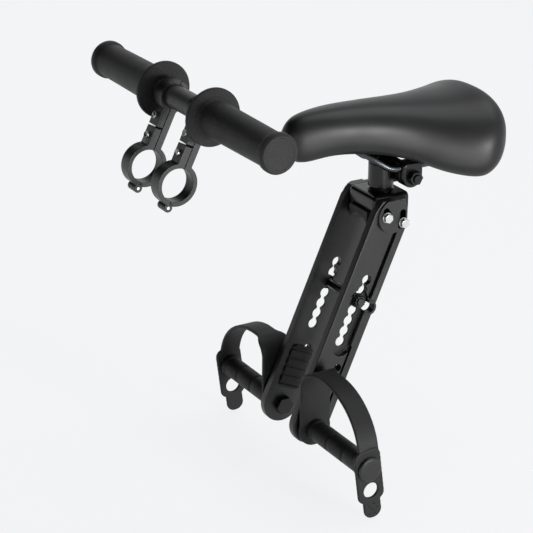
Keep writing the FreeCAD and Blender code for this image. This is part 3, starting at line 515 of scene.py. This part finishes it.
def makeCamera():
    a, e, r = (radians(shot[key]) for key in ("azimuth", "elevation", "roll"))
    back = Vector((sin(a) * cos(e), -cos(a) * cos(e), sin(e)))
    right = Vector((cos(a), sin(a), 0))
    up = back.cross(right)
    right, up = right * cos(r) + up * sin(r), up * cos(r) - right * sin(r)
    lens = bpy.data.cameras.new("camera")
    lens.lens = shot["lens"]
    lens.sensor_width = 36
    lens.clip_start = 0.05
    camera = bpy.data.objects.new("camera", lens)
    turn = Matrix((right, up, back)).transposed().to_4x4()
    camera.matrix_world = Matrix.Translation(shot["eye"]) @ turn
    bpy.context.collection.objects.link(camera)
    bpy.context.scene.camera = camera


studio = {
    "floor": -0.2412, "floorReach": 12, "wallReach": 10, "wallHeight": 2.2,
    "floorColour": "#fafbfc", "floorGlow": 0.85,
    "skyBright": "#f4f7fa", "skyDim": "#17181a", "skyStrength": 0.7,
    "openSide": (0.25, 0.9, 0.3), "skyFade": (-0.35, 0.95),  # the room is bright on this side and dim on the other
    "lamps": [  # place, aim, size, power
        ((1.9, 0.5, 0.12), (0, 0, 0.03), 0.42, 19),
        ((1.3, -0.1, -0.12), (0, 0.05, 0), 0.3, 3.5),
        ((0.1, 0.9, 2.2), (0, -0.05, 0), 1.8, 16),
        ((-1.8, 0.5, 0.9), (0, 0, 0), 1.4, 4),
    ],
}


def makeSky():
    world = bpy.data.worlds.new("studio")
    bpy.context.scene.world = world
    world.use_nodes = True
    tree = world.node_tree
    tree.nodes.clear()
    toward = addNode(tree, "TexCoord").outputs["Generated"]
    side = Vector(studio["openSide"]).normalized()
    facing = addNode(tree, "VectorMath", {"operation": "DOT_PRODUCT", 1: side}, {0: toward})
    low, high = studio["skyFade"]
    fade = {"interpolation_type": "SMOOTHSTEP", "From Min": low, "From Max": high}
    share = addNode(tree, "MapRange", fade, {"Value": facing.outputs["Value"]})
    tints = {"data_type": "RGBA", 6: linear(studio["skyDim"]), 7: linear(studio["skyBright"])}
    sky = addNode(tree, "Mix", tints, {0: share.outputs[0]})
    room = addNode(tree, "Background", {"Strength": studio["skyStrength"]}, {"Color": sky.outputs[2]})
    addNode(tree, "OutputWorld", None, {"Surface": room.outputs[0]})


def makePaper():
    # White paper: matte, and as pale to the eye and in reflections as it is written, but with the object's shadow
    colour = linear(studio["floorColour"])
    material, tree, skin, place = startMaterial("paperFloor", **{"Base Color": colour, "Roughness": 0.9})
    glow = addNode(tree, "Emission", {"Color": colour, "Strength": 1.0})
    ray = addNode(tree, "LightPath").outputs
    seen = addNode(tree, "Math", {"operation": "MAXIMUM"}, {0: ray["Is Camera Ray"], 1: ray["Is Glossy Ray"]})
    shown = addNode(tree, "Math", {"operation": "MAXIMUM"}, {0: seen.outputs[0], 1: ray["Is Transmission Ray"]})
    share = addNode(tree, "Math", {"operation": "MULTIPLY", 1: studio["floorGlow"]}, {0: shown.outputs[0]})
    paper = addNode(tree, "MixShader", None, {0: share.outputs[0], 1: skin.outputs[0], 2: glow.outputs[0]})
    output = next(node for node in tree.nodes if node.type == "OUTPUT_MATERIAL")
    tree.links.new(paper.outputs[0], output.inputs["Surface"])
    return material


def makeFloor():
    # A sheet of paper with a low wall round it, so that low views end in paper too
    bm = bmesh.new()
    bmesh.ops.create_grid(bm, x_segments=1, y_segments=1, size=studio["floorReach"])
    reach, height = studio["wallReach"], studio["wallHeight"]
    bmesh.ops.create_cone(bm, segments=96, radius1=reach, radius2=reach, depth=height,
                          matrix=Matrix.Translation((0, 0, height / 2)))
    bmesh.ops.translate(bm, verts=bm.verts, vec=(0, 0, studio["floor"]))
    mesh = bpy.data.meshes.new("floor")
    bm.to_mesh(mesh)
    bm.free()
    floor = bpy.data.objects.new("floor", mesh)
    bpy.context.collection.objects.link(floor)
    mesh.materials.append(makePaper())


def makeLamps():
    for count, (spot, aim, size, power) in enumerate(studio["lamps"]):
        lamp = bpy.data.lights.new("softbox%d" % count, "AREA")
        lamp.size = size
        lamp.energy = power
        holder = bpy.data.objects.new("softbox%d" % count, lamp)
        holder.location = spot
        holder.rotation_euler = (Vector(aim) - Vector(spot)).to_track_quat("-Z", "Y").to_euler()
        bpy.context.collection.objects.link(holder)


bpy.context.scene.view_settings.view_transform = "Standard"
makeCamera()
makeSky()
makeFloor()
makeLamps()
print("studio")
